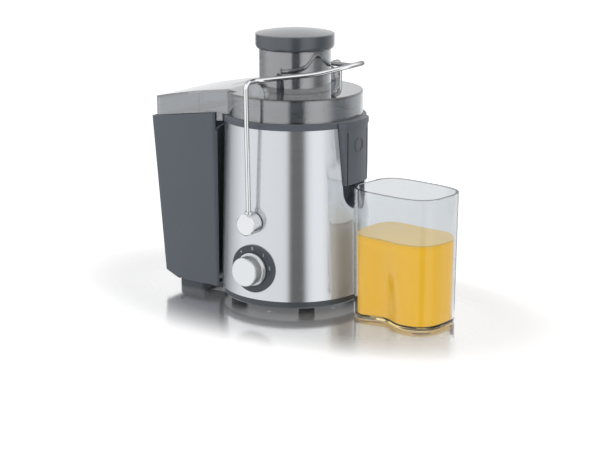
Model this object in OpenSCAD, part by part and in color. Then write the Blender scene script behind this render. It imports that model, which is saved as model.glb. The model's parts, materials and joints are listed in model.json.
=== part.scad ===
// Centrifugal juicer with a pulp container, a clear lid and a juice jug.
// Millimetres, +Z up. The origin is on the table under the motor's axis.
// The knob is on -Y, the spout and the jug on +X, the pulp container on -X.

/* [Body] */
// Outer radius of the steel sleeve at its lower edge
body_bottom_r = 75; // [73:0.5:78]
// Outer radius of the steel sleeve at its upper edge
body_top_r = 70.6; // [69.6:0.2:72]
// Height of the steel sleeve
sleeve_h = 170.5; // [164:0.5:176]
// Thickness of the steel sheet
sleeve_wall = 0.8; // [0.6:0.1:1.2]
// Wall of the motor housing inside the sleeve
housing_wall = 2.5; // [2:0.1:3]
// Height of the deck that the juice bowl stands on
deck_z = 128; // [124:0.5:130]

/* [Base] */
// Height of the dark ring under the sleeve
base_ring_h = 7.25; // [6:0.25:9]
// Height of a rubber foot below the base
foot_h = 6.5; // [5:0.25:8]
// Radius of a rubber foot
foot_r = 8; // [6:0.5:9]
// Distance between neighbouring feet
foot_spacing = 82; // [74:1:88]
// Number of cooling slots in the bottom
vent_count = 14; // [8:1:16]

/* [Spout notch] */
// Height of the lowest point of the notch in the sleeve
notch_floor_z = 101; // [98:0.5:106]
// Radius of the rounded bottom of the notch
notch_r = 20; // [18:0.5:21]
// Half width of the notch at the top of the sleeve
notch_top_half = 25.5; // [24:0.5:27]
// How far the face of the spout cover lies from the motor's axis
spout_face_x = 75.5; // [74.5:0.25:77]
// Half width of the face of the spout cover, between its rounded edges
spout_face_half = 20; // [16:0.5:21]
// Distance of the two upright grooves from the middle of the cover
spout_groove_y = 17.5; // [14:0.5:18]
// Width of the pressed border around the notch
notch_rim_w = 4.5; // [3:0.5:6]
// Height of the spout's mouth
spout_mouth_z = 127; // [125:0.5:129]
// Outer radius of the plain ring embossed on the spout cover
emblem_r = 7.5; // [5:0.5:9]

/* [Juice bowl] */
// Height of the bowl's flange, which caps the sleeve
flange_h = 5.75; // [5:0.25:7]
// How far the flange stands out past the sleeve's upper edge
flange_lip = 1.2; // [0.6:0.1:2]
// Wall of the bowl
bowl_wall = 2.3; // [2:0.1:2.6]
// Gap between the bowl and the sleeve at the top
bowl_gap = 1.6; // [1.2:0.1:2]
// Inner radius of the hub that the drive comes up through
bowl_hub_r = 14; // [13.6:0.1:15]

/* [Lid] */
// Outer radius of the round part of the lid
lid_r = 68.3; // [67.6:0.1:69]
// Height of the round part above the flange
lid_h = 23.75; // [22:0.25:26]
// Wall of the clear lid
lid_wall = 2.4; // [2:0.1:2.8]
// Outer radius of the feed chute
chute_r = 36; // [34:0.5:37]
// Wall of the feed chute
chute_wall = 2.5; // [2:0.1:3]
// Height of the feed chute above the lid
chute_h = 41.25; // [36:0.5:48]
// How far the pulp hood reaches from the motor's axis
hood_reach = 140; // [137:0.5:140.5]
// Half width of the pulp hood
hood_half = 49.5; // [46:0.5:49.5]
// How far the roof of the hood stands above the lid next to it
hood_step = 2; // [1:0.25:3]
// How far the roof of the hood falls to its outer end
hood_drop = 15.75; // [13:0.25:17]
// Half length of the two catches that the bail presses down
catch_w = 10; // [9:0.5:12]
// Depth of each catch, from the lid's edge inwards
catch_depth = 7; // [5:0.5:9]

/* [Pusher] */
// Gap around the pusher in the chute
pusher_gap = 0.7; // [0.4:0.1:1]
// Radius of the pusher's cap
cap_r = 39.4; // [38.5:0.1:41]
// Height of the cap's side
cap_h = 14.5; // [12:0.5:16]
// Rise of the domed top of the cap
cap_dome = 4; // [2:0.5:6]

/* [Pulp container] */
// How far the container reaches from the motor's axis at its rim
bin_reach = 144.5; // [144:0.5:148]
// How far it reaches just above its chamfered lower edge
bin_foot_reach = 133; // [130:0.5:137]
// Half width of the container at its rim
bin_half = 54; // [53.5:0.5:56]
// Distance from the motor's axis to the inner end of its side walls
bin_inner_x = 61; // [60:0.5:63]
// Height of its bottom
bin_bottom_z = 10; // [9:0.25:12]
// How far the rim stands above the bowl's flange at the inner end
bin_rim_rise = 1; // [-1:0.5:2]
// Fall of the rim towards the outer end
bin_rim_fall = 11.5; // [9:0.5:13]
// Wall of the container
bin_wall = 2.2; // [1.8:0.1:2.6]

/* [Juice jug] */
// Nearest side of the jug to the motor's axis
jug_near_x = 86.5; // [86:0.5:92]
// Length of the jug
jug_l = 97.5; // [92:0.5:108]
// Half width of the jug
jug_half = 35.5; // [32:0.5:38]
// Height of the jug
jug_h = 129.75; // [118:0.25:131]
// Wall of the jug
jug_wall = 2.4; // [2:0.1:3]
// Depth of the grip waist at the bottom on each side
jug_waist = 8.5; // [4:0.5:11]
// How far the pouring beak stands out
beak_l = 18; // [10:0.5:19]
// Turn of the jug about its beak, as it stands beside the body
jug_turn = 7.5; // [0:0.5:10]

/* [Bail] */
// Radius of the bail's wire
wire_r = 2.4; // [2:0.1:2.8]
// Distance of each leg from the middle of the body
bail_half = 84.5; // [83.5:0.5:87]
// Height of the bail's pivots
pivot_z = 91.5; // [86:0.5:96]
// Height of the wire's middle above the lid where it crosses the catches
bail_over_lid = 17; // [15.75:0.25:21]
// Radius of the bends at the top of the legs
bail_bend_r = 6; // [5:0.5:8]
// Distance from the middle at which the arms turn towards the loop
bail_turn_y = 66; // [62:0.5:70]
// Radius of that turn
bail_turn_r = 14; // [8:1:18]
// Rise of the arms towards the loop
bail_tilt = 7; // [5:0.5:9]
// Rise added in the loop, which is raised for the fingers
loop_kick = 10; // [6:0.5:12]
// Distance from the motor's axis to the middle of the loop
loop_x = 49; // [48:0.5:54]
// Radius of the loop beside the chute
loop_r = 25; // [23:0.5:27]
// Radius of the round bosses
boss_r = 10.65; // [9:0.25:12]
// Radius of the steel pivot pins
pin_r = 3; // [2.5:0.1:3.5]

/* [Knob] */
// Height of the knob's axis
knob_z = 44.75; // [40:0.5:48]
// Radius of the dial ring
dial_r = 24; // [22:0.5:26]
// How far the dial ring stands out from the sleeve
dial_proud = 1.8; // [1.2:0.1:3]
// Radius of the knob's collar
collar_r = 16.5; // [15:0.25:18]
// Radius of the knob's grip
grip_r = 14.25; // [12:0.25:15]
// How far the knob stands out from the dial ring
knob_l = 15.5; // [12:0.5:18]
// Radius of the knob's spindle
spindle_r = 3; // [2.5:0.1:3.5]

/* [Motor] */
// Radius of the motor shaft
shaft_r = 4; // [3.5:0.1:4.5]
// Outer radius of the stator
stator_r = 38; // [34:0.5:40]
// Bore of the stator
stator_bore_r = 22.8; // [21.5:0.1:24]
// Height of the stack of laminations
stack_h = 30; // [24:1:32]
// Height of the underside of the stack
stack_z = 62; // [60:0.5:66]
// Radius of the cooling fan
fan_r = 27.5; // [24:0.5:28]
// Number of fan blades
fan_blades = 11; // [7:1:15]

/* [Sieve] */
// Radius of the grater disc
disc_r = 37; // [34:0.5:38]
// Height of the grater disc
disc_z = 152; // [150:0.5:154]
// Radius of the filter cone at its rim
sieve_top_r = 61.5; // [59:0.5:61.5]
// Number of ribs on the filter cone
rib_count = 12; // [8:1:18]
// Number of rows of teeth on the grater disc
tooth_rows = 5; // [3:1:6]

/* [Fits] */
// Gap between parts that move past each other
move_gap = 0.4; // [0.3:0.1:0.8]
// Radial clearance of a turning shaft
run_gap = 0.05; // [0.02:0.01:0.09]

/* [Hidden] */
$fn = 72;
eps = 0.01;

// Heights up the body
base_z = foot_h;
sleeve_z = base_z + base_ring_h;
sleeve_top_z = sleeve_z + sleeve_h;
flange_top_z = sleeve_top_z + flange_h;
lid_top_z = flange_top_z + lid_h;
chute_top_z = lid_top_z + chute_h;
bail_top_z = lid_top_z + bail_over_lid;
deck_t = 3;

// Bowl, lid and sieve radii, from the sleeve inwards
bowl_r = body_top_r - sleeve_wall - bowl_gap;
bowl_in_r = bowl_r - bowl_wall;
spigot_r = bowl_in_r - 0.3;
spigot_wall = 2.1;
spigot_h = 4.5;
bowl_floor_z = deck_z + 3;
bowl_floor_t = 2.4;
flange_r = body_top_r + flange_lip;
bore_r = chute_r - chute_wall;
pusher_r = bore_r - pusher_gap;

// Front of the sleeve at the knob and the pivots
knob_face_y = sleeve_r(knob_z) + dial_proud;
dial_depth = 12;
dial_back_y = knob_face_y - dial_depth;
pin_y = sleeve_r(pivot_z - boss_r) + move_gap + 0.5;
bail_foot = bail_half - 3;
boss_end_y = bail_foot + 6.5;

// Plan of the bail: straight in over the lid, a turn, then straight to the loop
to_loop_l = norm([loop_x, bail_turn_y]);
bail_heading = atan2(bail_turn_y, loop_x) - asin(loop_r / to_loop_l);
turn_in = bail_turn_r * tan((90 - bail_heading) / 2);

// Pulp container's pivot, a bead on the stand
bead_r = 2.5;
bead_x = 110;
stand_end_x = 119;
tilt_max = 12;
stand_top_z = bin_bottom_z - move_gap;
bin_clear_r = body_bottom_r + 3;
bin_rim_z = flange_top_z + bin_rim_rise;
rim_slope = bin_rim_fall / (bin_reach - bin_inner_x);

slate = "#5b626a";
dark_slate = "#454b52";
steel = "#c9cdd0";
clear = [0.75, 0.78, 0.8, 0.35];

// Outer radius of the conical sleeve at a height
function sleeve_r(z) = body_bottom_r + (body_top_r - body_bottom_r) * (z - foot_h - base_ring_h) / sleeve_h;

// Point at radius r and angle a
function polar(r, a) = [r * cos(a), r * sin(a)];

// Height of the bail's arms at a distance along X
function arm_z(x) = let (d = max(0, x - loop_x + 8))
    bail_top_z + x * tan(bail_tilt) + tan(loop_kick) * (d < 12 ? d * d / 24 : d - 6);

// Faces of a closed skin through rings of n points each
function skin_faces(rings, n) = concat(
    [for (k = [0:rings - 2], i = [0:n - 1]) let (j = (i + 1) % n, p = k * n, q = p + n)
        each [[p + i, q + i, p + j], [p + j, q + i, q + j]]],
    [[for (i = [0:n - 1]) i]],
    [[for (i = [n - 1:-1:0]) (rings - 1) * n + i]]);

// Points of an arc around c
function arc(c, r, a0, a1, n) = [for (i = [0:n]) c + polar(r, a0 + (a1 - a0) * i / n)];

// Rectangle centred on the X axis from x0 to x1, with its corners rounded
function round_box(x0, x1, half, r) = concat(
    arc([x1 - r, half - r], r, 0, 90, 8), arc([x0 + r, half - r], r, 90, 180, 8),
    arc([x0 + r, r - half], r, 180, 270, 8), arc([x1 - r, r - half], r, 270, 360, 8));

// Ring about Z
module ring(r_out, r_in, z, h) {
    translate([0, 0, z])
        difference() {
            cylinder(r = r_out, h = h);
            translate([0, 0, -1])
                cylinder(r = r_in, h = h + 2);
        }
}

// Cylinder about Z from z0 to z1
module rod(r, z0, z1) {
    translate([0, 0, z0])
        cylinder(r = r, h = z1 - z0);
}

// Cylinder along Y at x = 0, from y0 to y1, at a height
module rod_y(r, y0, y1, z) {
    translate([0, y0, z])
        rotate([-90, 0, 0])
            cylinder(r = r, h = y1 - y0);
}

// Solid that follows the sleeve's slope, drawn in from its outside by inset
module body_cone(inset, z0, z1) {
    rotate_extrude()
        polygon([
            [0, z0], [sleeve_r(z0) - inset, z0],
            [sleeve_r(z1) - inset, z1], [0, z1]
        ]);
}

// Notch in the spout's side from x0 to x1, wider by grow all round
module notch(grow, x0, x1) {
    bend_z = notch_floor_z + notch_r;
    translate([x0, 0, 0])
        rotate([90, 0, 90])
            linear_extrude(x1 - x0) {
                polygon([
                    [-notch_r - grow, bend_z], [notch_r + grow, bend_z],
                    [notch_top_half + grow, sleeve_top_z + 1], [-notch_top_half - grow, sleeve_top_z + 1]
                ]);
                translate([0, bend_z])
                    circle(r = notch_r + grow);
            }
}

// Places its children at the four feet
module at_feet(spacing) {
    for (x = [-1, 1], y = [-1, 1])
        translate([x * spacing / 2, y * spacing / 2, 0])
            children();
}

/* ---- Base ---- */

screw_spacing = 66;
bracket_post_r = 33;

base_floor_t = 2.6;

module base_plate() {
    floor_t = base_floor_t;
    color(dark_slate)
        difference() {
            union() {
                difference() {
                    rotate_extrude()
                        polygon([
                            [0, base_z], [sleeve_r(sleeve_z) - 2.5, base_z], [sleeve_r(sleeve_z) - 1, base_z + 1.5],
                            [sleeve_r(sleeve_z) - 1, sleeve_z], [0, sleeve_z]
                        ]);
                    rod(sleeve_r(sleeve_z) - 5, base_z + floor_t, sleeve_z + 1);
                }
                at_feet(foot_spacing)
                    rod(foot_r + 2, base_z, base_z + 6);
                rotate([0, 0, 45])
                    at_feet(screw_spacing)
                        rod(5, base_z, sleeve_z);
                rod(15, base_z, sleeve_z);
            }
            at_feet(foot_spacing)
                rod(foot_r - 2 + eps, base_z - 1, base_z + 3);
            rotate([0, 0, 45])
                at_feet(screw_spacing) {
                    rod(1.7, base_z - 1, sleeve_z + 1);
                    rod(3.2, base_z - 1, base_z + 2.5);
                }
            for (i = [0:vent_count - 1])
                rotate([0, 0, 360 * (i + 0.5) / vent_count])
                    translate([20, -1.5, base_z - 1])
                        cube([11, 3, floor_t + 2]);
        }
}

module rubber_feet() {
    color("#24272a")
        at_feet(foot_spacing) {
            rotate_extrude()
                polygon([[0, 0], [foot_r - 1, 0], [foot_r, 1], [foot_r, base_z], [0, base_z]]);
            rod(foot_r - 2, base_z, base_z + 3);
        }
}

module base_screws() {
    color("silver")
        rotate([0, 0, 45])
            at_feet(screw_spacing) {
                rod(3, base_z + 0.5, base_z + 2.5);
                rod(1.6, base_z + 2.5, sleeve_z + 8);
            }
}

module container_stand() {
    half = 40;
    block_x1 = 87;
    arm_half = 30;
    color(dark_slate) {
        difference() {
            linear_extrude(stand_top_z)
                polygon(round_box(-stand_end_x, -block_x1, half, 4));
            // slope that the container tips onto
            translate([-bead_x, 0, stand_top_z])
                rotate([0, -tilt_max - 0.5, 0])
                    translate([-30, -half - 1, 0])
                        cube([30, 2 * half + 2, 8]);
        }
        difference() {
            for (m = [0, 1])
                mirror([0, m, 0])
                    translate([-block_x1 - 2, arm_half - 12, 2])
                        cube([block_x1 - 40, 12, stand_top_z - 3]);
            rod(sleeve_r(sleeve_z) - 1, -1, 40);
        }
        translate([-bead_x, 0, stand_top_z])
            rotate([90, 0, 0])
                cylinder(r = bead_r, h = 2 * half - 16, center = true);
    }
}

/* ---- Body shell ---- */

pocket_x = 56;
housing_gap = 0.2;
switch_y = 60;

module inner_housing() {
    inset = sleeve_wall + housing_gap;
    boss_depth = 12;
    color(slate)
        difference() {
            union() {
                difference() {
                    body_cone(inset, sleeve_z, deck_z);
                    body_cone(inset + housing_wall, sleeve_z - 1, deck_z - deck_t);
                }
                intersection() {
                    notch(housing_wall, pocket_x - housing_wall, body_bottom_r + 2);
                    body_cone(inset, sleeve_z, deck_z);
                }
                // screw posts
                rotate([0, 0, 45])
                    at_feet(screw_spacing)
                        rod(4.5, sleeve_z, sleeve_z + 14);
                // bosses behind the pivots
                for (m = [0, 1])
                    mirror([0, m, 0])
                        rod_y(8, -sleeve_r(pivot_z) + inset + 1, -sleeve_r(pivot_z) + boss_depth, pivot_z);
                // pad for the safety switch
                intersection() {
                    translate([13, switch_y, pivot_z - 8])
                        cube([8, 20, 16]);
                    body_cone(inset + 1, sleeve_z, deck_z);
                }
                // hub ring on the deck
                ring(13, 9, deck_z - 9, 9);
            }
            notch(-1.4, pocket_x, body_bottom_r + 4);
            // room for the lower end of the spout cover
            intersection() {
                notch(-0.4, pocket_x, body_bottom_r + 4);
                rod(body_bottom_r + 4, spout_mouth_z - 0.3, deck_z + 1);
            }
            rotate([0, 0, 45])
                at_feet(screw_spacing)
                    rod(1.6, sleeve_z - 1, sleeve_z + 9);
            for (m = [0, 1])
                mirror([0, m, 0])
                    rod_y(pin_r, -body_bottom_r - 2, -sleeve_r(pivot_z) + boss_depth - 2, pivot_z);
            rod(9, deck_z - 10, deck_z + 1);
            rod_y(21, -body_bottom_r - 2, -50, knob_z);
            rod_y(6, 50, body_bottom_r + 2, gland_z);
            for (a = [40, 50, 60, 120, 130, 140, 220, 230, 240, 300, 310, 320])
                rotate([0, 0, a])
                    translate([44, -1.25, deck_z - deck_t - 1])
                        cube([10, 2.5, deck_t + 2]);
        }
}

module steel_sleeve() {
    color(steel)
        difference() {
            union() {
                body_cone(0, sleeve_z, sleeve_top_z);
                // pressed border around the notch
                intersection() {
                    body_cone(-0.5, notch_floor_z - notch_rim_w - 1, sleeve_top_z);
                    notch(notch_rim_w, 30, body_bottom_r + 4);
                }
            }
            body_cone(sleeve_wall, sleeve_z - 1, sleeve_top_z + 1);
            notch(0, 30, body_bottom_r + 4);
            rod_y(21.6, -body_bottom_r - 2, -40, knob_z);
            for (m = [0, 1])
                mirror([0, m, 0])
                    rod_y(pin_r + 1, -body_bottom_r - 2, -40, pivot_z);
            rod_y(7, 40, body_bottom_r + 2, gland_z);
        }
}

module dial_ring() {
    color("#565d64")
        difference() {
            union() {
                difference() {
                    rod_y(dial_r, -knob_face_y, -40, knob_z);
                    body_cone(0, 0, sleeve_top_z);
                }
                rod_y(20.9, -knob_face_y, -dial_back_y, knob_z);
            }
            rod_y(13, -body_bottom_r - 10, -30, knob_z);
            // shallow step that the knob's collar turns in
            rod_y(collar_r + 1, -knob_face_y - 1, -knob_face_y + 0.8, knob_z);
        }
}

module pivot_pins() {
    color("silver")
        for (m = [0, 1])
            mirror([0, m, 0])
                rod_y(pin_r, -boss_end_y + 3, -sleeve_r(pivot_z) + 10, pivot_z);
}

gland_z = 28;

module cord_gland() {
    color("#24272a")
        difference() {
            union() {
                rod_y(5.8, sleeve_r(gland_z) - 8, sleeve_r(gland_z) + 3, gland_z);
                rod_y(8.5, sleeve_r(gland_z) + 0.3, sleeve_r(gland_z) + 3.5, gland_z);
            }
            rod_y(3.3, 40, body_bottom_r + 20, gland_z);
        }
}

/* ---- Juice bowl and lid ---- */

// Plan of the spout cover from x0 outwards, drawn out by grow
module spout_plan(x0, grow) {
    side = notch_top_half + 4;
    edge_r = 3;
    sag = spout_face_half * spout_face_half / (2 * body_bottom_r);
    edge_x = spout_face_x + grow - sag - edge_r;
    polygon(concat(
        [[x0, side], [x0, -side], [sleeve_r(sleeve_top_z) - 5, -side]],
        arc([edge_x, -spout_face_half], edge_r, -50, -15, 4),
        [for (i = [-5:5]) [spout_face_x + grow - sag * i * i / 36, spout_face_half * i / 6]],
        arc([edge_x, spout_face_half], edge_r, 15, 50, 4),
        [[sleeve_r(sleeve_top_z) - 5, side]]));
}

module juice_bowl() {
    floor_top = bowl_floor_z + bowl_floor_t;
    channel_half = spout_face_half - 5;
    mouth_x = bowl_r - 4;
    color(slate)
        difference() {
            union() {
                rotate_extrude()
                    polygon([
                        [bowl_hub_r, deck_z], [bowl_hub_r + 2.5, deck_z], [bowl_hub_r + 2.5, bowl_floor_z],
                        [bowl_r, bowl_floor_z], [bowl_r, sleeve_top_z], [flange_r, sleeve_top_z],
                        [flange_r, flange_top_z - 1], [flange_r - 1, flange_top_z], [bowl_in_r, flange_top_z],
                        [bowl_in_r, floor_top], [bowl_hub_r + 2.5, floor_top],
                        [bowl_hub_r + 2.5, disc_z - 6], [bowl_hub_r, disc_z - 6]
                    ]);
                difference() {
                    intersection() {
                        notch(-0.7, mouth_x - 2, spout_face_x + 1);
                        translate([0, 0, spout_mouth_z])
                            linear_extrude(sleeve_top_z - spout_mouth_z)
                                spout_plan(mouth_x - 3, 0);
                    }
                    rod(bowl_in_r, floor_top, sleeve_top_z + 1);
                }
                difference() {
                    translate([0, 0, sleeve_top_z])
                        linear_extrude(flange_h)
                            spout_plan(bowl_r, 1);
                    rod(bowl_in_r + 1, sleeve_top_z - 1, flange_top_z + 1);
                    notch_sides();
                }
                // plain embossed ring
                translate([spout_face_x - 1.2, 0, sleeve_top_z - 19])
                    rotate([0, 90, 0])
                        ring(emblem_r, emblem_r - 1.2, 0, 1.6);
            }
            // upright grooves beside the cover's edges
            for (m = [0, 1])
                mirror([0, m, 0])
                    translate([spout_face_x - 3.6, spout_groove_y - 0.8, spout_mouth_z - 1])
                        cube([5, 1.6, sleeve_top_z - spout_mouth_z - 4]);
            // channel from the bowl down to the mouth
            translate([mouth_x, -channel_half, spout_mouth_z - 1])
                cube([spout_face_x - mouth_x - 3.4, 2 * channel_half, 40]);
            translate([bowl_in_r - 12, -channel_half, floor_top])
                cube([20, 2 * channel_half, 16]);
        }
}

// Cuts the widened flange to the notch's width
module notch_sides() {
    for (m = [0, 1])
        mirror([0, m, 0])
            translate([0, notch_top_half + 1, sleeve_top_z - 1])
                cube([100, 40, flange_h + 2]);
}

module bowl_gasket() {
    color("#2c2f33")
        ring(bowl_hub_r - 0.5, 10, deck_z, 1.6);
}

hood_start_x = 46;

// Height of the hood's roof at a distance along -X
function roof_z(x) = let (t = (x - hood_start_x) / (hood_reach - hood_start_x))
    lid_top_z + hood_step - hood_drop * (0.63 * t + 0.37 * t * t);

// Side view of the hood: its roof, and its lower edge inside the container
module hood_side(inset, drop) {
    n = 14;
    roof = [for (i = [0:n]) let (x = hood_start_x + (hood_reach - hood_start_x) * i / n) [-x, roof_z(x) - inset]];
    polygon(concat(
        [[-20, lid_top_z - 1 - inset], [-hood_start_x + 14, lid_top_z - 0.5 - inset]], roof,
        [[-hood_reach - 1, roof_z(hood_reach) - inset], [-hood_reach - 1, rim_z(hood_reach) - 5 - drop],
         [-20, rim_z(56) - 5 - drop]]));
}

// Height of the container's rim at a distance along -X
function rim_z(x) = bin_rim_z - rim_slope * (x - bin_inner_x);

// The hood's outer form, drawn in by inset
module hood_block(inset, drop) {
    intersection() {
        rotate([90, 0, 0])
            linear_extrude(2 * hood_half + 2, center = true)
                hood_side(inset, drop);
        translate([0, 0, flange_top_z - 40])
            linear_extrude(100)
                polygon(round_box(-hood_reach + inset, -20 + inset, hood_half - inset, 7 - inset));
    }
}

// Catch on the lid that an arm of the bail rides up and sits on
module bail_catch() {
    top_z = bail_top_z - wire_r - 0.4;
    rise = top_z - lid_top_z;
    run = 9;
    saddle_r = wire_r + 0.4;
    end_y = -lid_r + 1.3;
    difference() {
        translate([0, end_y + catch_depth, 0])
            rotate([90, 0, 0])
                linear_extrude(catch_depth)
                    polygon(concat(
                        [[catch_w, lid_top_z - 1], [catch_w, lid_top_z]],
                        [for (i = [1:8]) let (a = 90 * i / 8)
                            [catch_w - run + run * cos(a), lid_top_z + rise * sin(a)]],
                        [[-catch_w + 2, top_z + 1.6], [-catch_w, top_z], [-catch_w, lid_top_z - 1]]));
        // saddle that the wire lies in
        rod_y(saddle_r, -90, -40, bail_top_z);
    }
}

module lid() {
    bowl_clear = 0.2;
    color(clear)
        difference() {
            union() {
                difference() {
                    union() {
                        rod(lid_r, flange_top_z + bowl_clear - 0.2, lid_top_z - 1);
                        translate([0, 0, lid_top_z - 1])
                            cylinder(r1 = lid_r, r2 = lid_r - 1, h = 1);
                        difference() {
                            hood_block(0, 0);
                            // keep clear of the bowl's flange and the sleeve
                            rod(flange_r + 1.2, 100, flange_top_z + 0.6);
                        }
                    }
                    rod(lid_r - lid_wall, 100, lid_top_z - lid_wall);
                    hood_block(lid_wall, 30);
                }
                // apron that carries the pulp over the bowl's flange
                intersection() {
                    rotate([90, 0, 0])
                        linear_extrude(2 * hood_half - 1, center = true)
                            polygon([
                                [-55, flange_top_z], [-55, flange_top_z + 1.8], [-74, flange_top_z + 1.8],
                                [-84, flange_top_z - 4.2], [-84, flange_top_z - 6], [-75, flange_top_z]
                            ]);
                    difference() {
                        translate([-100, -hood_half + 1, 150])
                            cube([60, 2 * hood_half - 2, 60]);
                        rod(spigot_r - spigot_wall, 100, 250);
                        rod(flange_r + 1.2, 100, flange_top_z);
                    }
                }
                // upright rib inside each wall of the hood
                for (m = [0, 1])
                    mirror([0, m, 0])
                        translate([-84, hood_half - lid_wall - 1.4, rim_z(84) - 4])
                            cube([4, 2, roof_z(84) - rim_z(84) + 3]);
                ring(spigot_r, spigot_r - spigot_wall, flange_top_z - spigot_h, spigot_h + 1);
                ring(lid_r, spigot_r - spigot_wall, flange_top_z, 1.8);
                rod(chute_r, disc_z + 7.5, chute_top_z);
                for (m = [0, 1])
                    mirror([0, m, 0])
                        bail_catch();
            }
            rod(bore_r, 100, chute_top_z + 1);
        }
}

/* ---- Pusher ---- */

module pusher_tube() {
    foot_z = disc_z + 7.5;
    wall = 2;
    color(dark_slate)
        difference() {
            rotate_extrude()
                polygon([
                    [0, foot_z], [pusher_r - 2, foot_z], [pusher_r, foot_z + 2],
                    [pusher_r, chute_top_z], [0, chute_top_z]
                ]);
            rod(pusher_r - wall, foot_z + 2.5, chute_top_z + 1);
        }
}

module pusher_cap() {
    cap_z = chute_top_z + move_gap;
    dome_r = (cap_r * cap_r + cap_dome * cap_dome) / (2 * cap_dome);
    top_z = cap_z + cap_h;
    half_angle = asin((cap_r - 1) / dome_r);
    color(dark_slate)
        difference() {
            union() {
                rotate_extrude()
                    polygon(concat(
                        [[0, cap_z], [cap_r - 1.6, cap_z], [cap_r - 0.4, cap_z + 1.6], [cap_r, cap_z + 4],
                         [cap_r, top_z - 0.6], [cap_r - 1, top_z]],
                        [for (i = [1:12]) let (a = half_angle * (1 - i / 12))
                            [dome_r * sin(a), top_z + dome_r * cos(a) - dome_r * cos(half_angle)]]));
                rod(pusher_r - 2, chute_top_z - 8, cap_z + 1);
            }
            rod(pusher_r - 4.2, chute_top_z - 9, cap_z + cap_h - 3);
        }
}

/* ---- Bail ---- */

// Plan of the front arm as [x, y, heading], from the turn over the lid to the tip of the loop
turn_c = [bail_turn_r, -bail_turn_y - turn_in];
arm_plan = concat(
    [for (i = [0:5]) let (a = 180 - (90 - bail_heading) * i / 5)
        concat(turn_c + polar(bail_turn_r, a), [a - 90])],
    [for (i = [0:9]) let (a = bail_heading - 90 + (90 - bail_heading) * i / 9)
        concat([loop_x, 0] + polar(loop_r, a), [a + 90])]);
arm_turn_end = arm_plan[5];
arm_loop_start = arm_plan[6];

// Frame of the wire at a place in plan: [point, side, tangent]
function arm_frame(p) = let (
    h = [cos(p[2]), sin(p[2]), 0],
    slope = (arm_z(p[0] + 0.1 * h[0]) - arm_z(p[0])) / 0.1)
    [[p[0], p[1], arm_z(p[0])], [h[1], -h[0], 0], (h + [0, 0, slope]) / norm(h + [0, 0, slope])];

// Front half of the wire, from its foot to the middle of the loop
bail_half_path = concat(
    [[[0, -bail_foot, pivot_z + boss_r - 3], [1, 0, 0], [0, 0, 1]],
     [[0, -bail_half, bail_top_z - bail_bend_r], [1, 0, 0], [0, 0, 1]]],
    [for (i = [1:6]) let (a = 90 * i / 6)
        [[0, bail_bend_r * (1 - cos(a)) - bail_half, bail_top_z - bail_bend_r + bail_bend_r * sin(a)],
         [1, 0, 0], [0, sin(a), cos(a)]]],
    [for (i = [0:5]) arm_frame(arm_plan[i])],
    [for (i = [1:6]) let (p = arm_turn_end + (arm_loop_start - arm_turn_end) * i / 7)
        arm_frame([p[0], p[1], bail_heading])],
    [for (i = [6:15]) arm_frame(arm_plan[i])]);

// The same frame on the other side of the body
function other_side(f) = [[f[0][0], -f[0][1], f[0][2]], [f[1][0], -f[1][1], f[1][2]], [-f[2][0], f[2][1], -f[2][2]]];

module bail_wire() {
    sides = 16;
    half_n = len(bail_half_path);
    frames = concat(bail_half_path, [for (i = [half_n - 2:-1:0]) other_side(bail_half_path[i])]);
    points = [for (f = frames, k = [0:sides - 1]) let (a = 360 * k / sides)
        f[0] + wire_r * (cos(a) * f[1] + sin(a) * cross(f[2], f[1]))];
    color("gainsboro")
        polyhedron(points, skin_faces(len(frames), sides));
}

// Round boss that turns on a pivot pin, on -Y, with a collar for the foot of the wire
module boss() {
    l = boss_end_y - pin_y;
    hole_l = l - 2.5;
    difference() {
        union() {
            translate([0, -pin_y, pivot_z])
                rotate([90, 0, 0])
                    rotate_extrude()
                        polygon([
                            [0, 0], [boss_r - 0.6, 0], [boss_r, 0.6], [boss_r, l - 1], [boss_r - 1, l], [0, l]
                        ]);
            translate([0, -bail_foot, pivot_z])
                rod(wire_r + 1.5, boss_r - 3, boss_r + 2.2);
        }
        rod_y(pin_r + run_gap, -pin_y - hole_l, -pin_y + 1, pivot_z);
        translate([0, -bail_foot, pivot_z])
            rod(wire_r + 0.1, boss_r - 3, boss_r + 5);
    }
}

module front_boss() {
    color("gainsboro")
        boss();
}

module rear_boss() {
    color("gainsboro")
        mirror([0, 1, 0])
            boss();
}

/* ---- Knob ---- */

collar_t = 2.6;
collar_y = knob_face_y - 0.8 + move_gap;

module knob_grip() {
    l = knob_l - 2 + 0.8 - move_gap;
    color("silver")
        translate([0, -collar_y, knob_z])
            rotate([90, 0, 0])
                difference() {
                    rotate_extrude()
                        polygon([
                            [0, 0], [collar_r - 0.5, 0], [collar_r, 0.5], [collar_r, collar_t], [collar_r - 0.6, collar_t + 0.6],
                            [grip_r + 0.8, collar_t + 1], [grip_r, collar_t + 2], [grip_r, l], [0, l]
                        ]);
                    translate([0, 0, -1])
                        cylinder(r = spindle_r, h = l - 3);
                    // pointer groove
                    translate([-0.8, grip_r - 1, collar_t + 3])
                        cube([1.6, 4, l]);
                }
}

module knob_face() {
    color("whitesmoke")
        translate([0, -knob_face_y - knob_l + 2, knob_z])
            rotate([90, 0, 0])
                rotate_extrude()
                    polygon([[0, 0], [grip_r, 0], [grip_r, 1.2], [grip_r - 0.8, 2], [grip_r - 2, 1.8], [0, 1.8]]);
}

module knob_spindle() {
    color("silver")
        rod_y(spindle_r, -collar_y - knob_l + 7, -dial_back_y + 12, knob_z);
}

/* ---- Motor ---- */

bearing_h = 7;
bearing_r = 11;
low_bearing_z = 20;
high_bearing_z = 107;
coil_over = 8;
coil_in_r = stator_bore_r + 2.2;
coil_out_r = coil_in_r + 4.5;
post_r = 4;

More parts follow.
